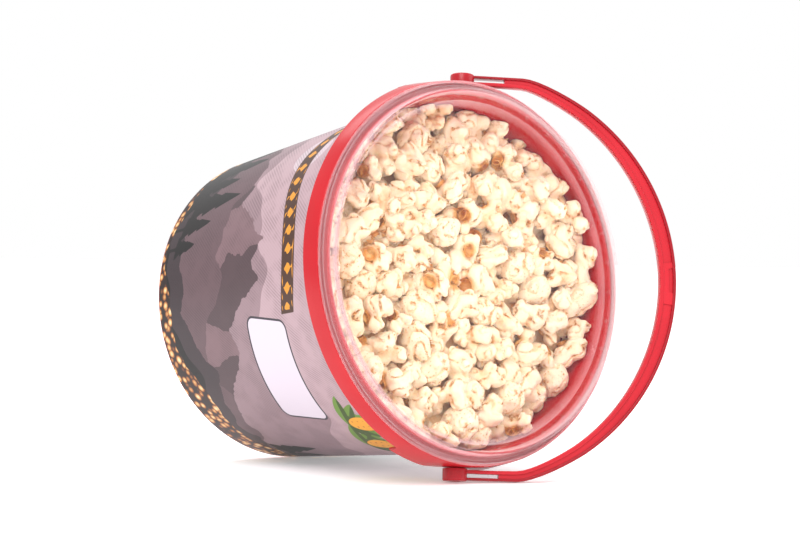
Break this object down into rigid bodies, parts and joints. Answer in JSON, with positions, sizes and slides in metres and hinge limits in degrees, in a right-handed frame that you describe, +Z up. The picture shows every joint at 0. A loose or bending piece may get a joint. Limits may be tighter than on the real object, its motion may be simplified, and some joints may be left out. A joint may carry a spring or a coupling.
{
  "type": "popcorn pail",
  "caption": "Round plastic pail of popcorn lying on its side, with a clear press-on lid, a deep collar band and a swinging bail handle.",
  "frame": {"origin": "centre of the box round the whole object, on the ground it lies on", "axes": "+Z up; +Y along the lying pail, from its mouth to its base; +X to the side that the handle has dropped to"},
  "size_m": [0.231, 0.2628, 0.2405],
  "materials": {
    "red_plastic": "gloss",
    "handle_plastic": "gloss",
    "clear_plastic": "gloss",
    "popped_corn": "matte"
  },
  "bodies": {
    "bucket": {"pail": "red_plastic", "lid": "clear_plastic", "popcorn": "popped_corn"},
    "bail": {"handle": "handle_plastic"}
  },
  "joints": [
    {"name": "handle_swing", "type": "hinge", "parent": "bucket", "child": "bail", "pos_m": [0, -0.05914, 0.12023], "axis": [0.1173, 0.1327, 0.9842], "range_deg": [-174.5, 55.5]}
  ]
}
